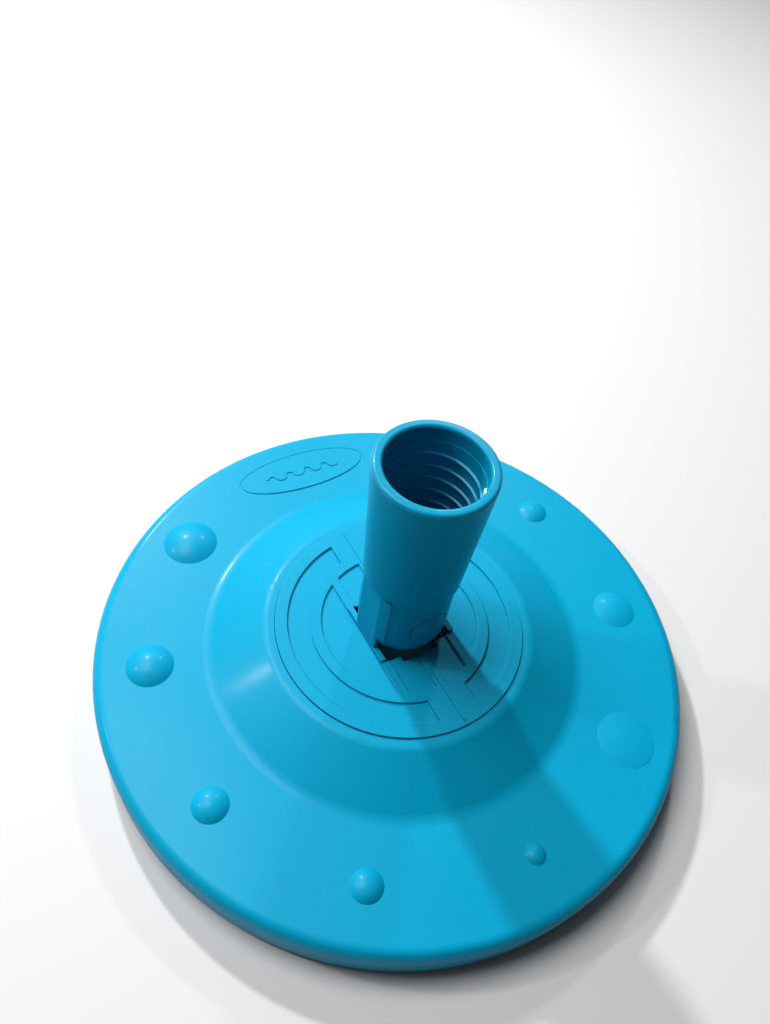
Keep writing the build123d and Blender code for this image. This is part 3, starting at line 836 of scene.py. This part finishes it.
class HEAD_OT_brushes(bpy.types.Operator):
    """Finish the brush backs and grow the tufts on them"""

    bl_idname = "vacuum_head.brushes"
    bl_label = "Brushes"
    bl_options = {"REGISTER", "UNDO"}

    def execute(self, context):
        brush = context.scene.vacuum_head.brush
        backs = moulded_plastic(
            "brush back plastic",
            brush.back,
            dimmed(brush.back, 0.9),
            0.4 * MM,
            0.02 * MM,
            0.4,
            shine=0.10,
        )
        paint(numbered("brush_back_"), backs)
        nylon = bristle_nylon("bristle nylon", brush.nylon, brush.tip, BRISTLE_HIGH.z, BRISTLE_LOW.z)
        tree = tuft_tree()
        for number, replaced in enumerate(numbered("bristles_"), start=1):
            tufts = grow(f"tufts_{number}", tree, {
                "Inner Radius": BRISTLE_INNER_R,
                "Outer Radius": BRISTLE_OUTER_R,
                "Centre Angle": 2.0 * pi / BRUSH_COUNT * (number - 0.5),
                "Half Arc": BRISTLE_HALF_ARC,
                "Root Height": BRISTLE_HIGH.z,
                "Tip Height": BRISTLE_LOW.z,
                "Rows": brush.rows,
                "Tufts": brush.tufts,
                "Filaments": brush.filaments,
                "Tuft Radius": brush.tuft_radius,
                "Filament Radius": brush.filament_radius,
                "Splay": brush.splay,
                "Seed": brush.seed + 10 * number,
                "Material": nylon,
            })
            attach(tufts, "head")
            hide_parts(replaced)
        return {"FINISHED"}


class HEAD_OT_screws(bpy.types.Operator):
    """Make the two rings of screws with their cross recesses"""

    bl_idname = "vacuum_head.screws"
    bl_label = "Screws"
    bl_options = {"REGISTER", "UNDO"}

    def execute(self, context):
        screw = context.scene.vacuum_head.screw
        steel = stainless("screw steel", screw.steel, dimmed(screw.steel, 0.7))
        tree = screw_tree()
        rings = (
            ("base_screw_ring", "base_screws", BASE_SCREW_BOX, screw.head_radius, 0.0),
            ("plate_screw_ring", "plate_screws", PLATE_SCREW_BOX, screw.washer_radius, 30.0),
        )
        for name, replaced, (low, high), head_radius, first_angle in rings:
            # the ring reaches furthest along X where its first screw lies on that axis, else along Y
            reach = high.x if first_angle == 0.0 else high.y
            head_z = low.z + screw.head_thickness
            ring = grow(name, tree, {
                "Circle Radius": reach - head_radius,
                "First Angle": radians(first_angle),
                "Count": SCREW_COUNT,
                "Head Height": head_z,
                "Head Radius": head_radius,
                "Head Thickness": screw.head_thickness,
                "Dome": screw.dome,
                "Recess Length": screw.recess_length,
                "Recess Width": screw.recess_width,
                "Recess Depth": screw.recess_depth,
                "Shank Radius": screw.shank_radius,
                "Shank Length": high.z - head_z,
                "Material": steel,
            })
            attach(ring, "head")
            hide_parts(replaced)
        return {"FINISHED"}


class HEAD_OT_stage(bpy.types.Operator):
    """Make the floor, the lights, the sky and the camera"""

    bl_idname = "vacuum_head.stage"
    bl_label = "Stage"
    bl_options = {"REGISTER", "UNDO"}

    def execute(self, context):
        stage = context.scene.vacuum_head.stage
        self.lay_floor(stage)
        middle = Vector((0.0, 0.0, CAD_BOX[1].z / 3.0))
        lamps = (
            ("key lamp", 90.5, LAMP_ELEVATION, stage.key_power, stage.light_size),
            ("right lamp", 48.0, LAMP_ELEVATION, stage.side_power, stage.light_size),
            ("left lamp", 141.0, LAMP_ELEVATION, stage.side_power, stage.light_size),
            ("top light", 128.0, 66.0, stage.top_power, stage.top_size),
        )
        for name, plan_angle, elevation, power, size in lamps:
            self.hang_lamp(name, middle, plan_angle, elevation, power, size, stage.light_distance)
        self.light_sky(stage.sky)
        self.place_camera(stage)
        context.scene.view_settings.view_transform = "Standard"
        return {"FINISHED"}

    def lay_floor(self, stage):
        """Flat square floor under the bristle tips."""
        half = stage.floor_size / 2.0
        mesh = bpy.data.meshes.new("floor")
        corners = [(-half, -half, 0.0), (half, -half, 0.0), (half, half, 0.0), (-half, half, 0.0)]
        mesh.from_pydata(corners, [], [(0, 1, 2, 3)])
        mesh.materials.append(pale_floor("floor paint", stage.floor, dimmed(stage.floor, 0.97), stage.spot))
        floor = bpy.data.objects.new("floor", mesh)
        bpy.context.scene.collection.objects.link(floor)

    def hang_lamp(self, name, middle, plan_angle, elevation, power, size, distance):
        """Round lamp at a plan angle from +X and a height above the horizon, turned to the object."""
        lamp = bpy.data.lights.new(name, "AREA")
        lamp.shape = "DISK"
        lamp.size = size
        lamp.energy = power
        item = bpy.data.objects.new(name, lamp)
        bpy.context.scene.collection.objects.link(item)
        toward = Quaternion((0.0, 0.0, 1.0), radians(plan_angle)) @ Vector((1.0, 0.0, 0.0))
        toward = toward * cos(radians(elevation)) + Vector((0.0, 0.0, 1.0)) * cos(radians(90.0 - elevation))
        item.location = middle + toward * distance
        item.rotation_mode = "QUATERNION"
        item.rotation_quaternion = toward.to_track_quat("Z", "Y")

    def light_sky(self, strength):
        """Sky that is bright overhead and behind the head and fades towards the front."""
        world = bpy.data.worlds.new("studio sky")
        bpy.context.scene.world = world
        world.use_nodes = True
        sky = Tree(world.node_tree)
        place = sky.add("ShaderNodeTexCoord").of("Generated")
        toward = sky.add("ShaderNodeSeparateXYZ", inputs={0: place})
        glow = (toward.of("Z") * 1.1 + toward.of("Y") - 0.1).clamped(0.0, 1.0) * strength + 0.004
        light = sky.add("ShaderNodeBackground", inputs={"Color": (1.0, 1.0, 1.0, 1.0), "Strength": glow})
        sky.add("ShaderNodeOutputWorld", inputs={"Surface": light})

    def place_camera(self, stage):
        """Camera that looks at its aim from a direction, rolled about its line of sight."""
        lens = bpy.data.cameras.new("camera")
        lens.lens = stage.lens
        camera = bpy.data.objects.new("camera", lens)
        bpy.context.scene.collection.objects.link(camera)
        turned = Quaternion((0.0, 0.0, 1.0), stage.camera_azimuth) @ Vector((0.0, -1.0, 0.0))
        back = turned * cos(stage.camera_elevation)
        back.z = cos(radians(90.0) - stage.camera_elevation)
        camera.location = Vector(stage.camera_aim) + back * stage.camera_distance
        camera.rotation_mode = "QUATERNION"
        roll = Quaternion((0.0, 0.0, 1.0), stage.camera_roll)
        camera.rotation_quaternion = (-back).to_track_quat("-Z", "Y") @ roll
        bpy.context.scene.camera = camera


OPERATORS = (
    HEAD_OT_mouldings,
    HEAD_OT_socket,
    HEAD_OT_seals,
    HEAD_OT_pivot_fittings,
    HEAD_OT_ballast,
    HEAD_OT_brushes,
    HEAD_OT_screws,
    HEAD_OT_stage,
)


class HEAD_PT_panel(bpy.types.Panel):
    """Steps that build the pool vacuum head's looks"""

    bl_idname = "HEAD_PT_panel"
    bl_label = "Pool Vacuum Head"
    bl_space_type = "VIEW_3D"
    bl_region_type = "UI"
    bl_category = "Vacuum Head"

    def draw(self, context):
        settings = context.scene.vacuum_head
        for operator in OPERATORS:
            self.layout.operator(operator.bl_idname)
        for group in (settings.plastic, settings.brush, settings.screw, settings.stage):
            box = self.layout.box()
            for name in group.bl_rna.properties.keys():
                if name not in ("rna_type", "name"):
                    box.prop(group, name)


CLASSES = (
    PlasticSettings,
    BrushSettings,
    ScrewSettings,
    StageSettings,
    VacuumHeadSettings,
    *OPERATORS,
    HEAD_PT_panel,
)


def register():
    """Register the classes and hang the settings on the scene."""
    for item in CLASSES:
        bpy.utils.register_class(item)
    bpy.types.Scene.vacuum_head = PointerProperty(type=VacuumHeadSettings)


def unregister():
    """Undo register."""
    del bpy.types.Scene.vacuum_head
    for item in reversed(CLASSES):
        bpy.utils.unregister_class(item)


def main():
    """Build the whole scene."""
    register()
    bpy.ops.vacuum_head.mouldings()
    bpy.ops.vacuum_head.socket()
    bpy.ops.vacuum_head.seals()
    bpy.ops.vacuum_head.pivot_fittings()
    bpy.ops.vacuum_head.ballast()
    bpy.ops.vacuum_head.brushes()
    bpy.ops.vacuum_head.screws()
    bpy.ops.vacuum_head.stage()


if __name__ == "__main__":
    main()
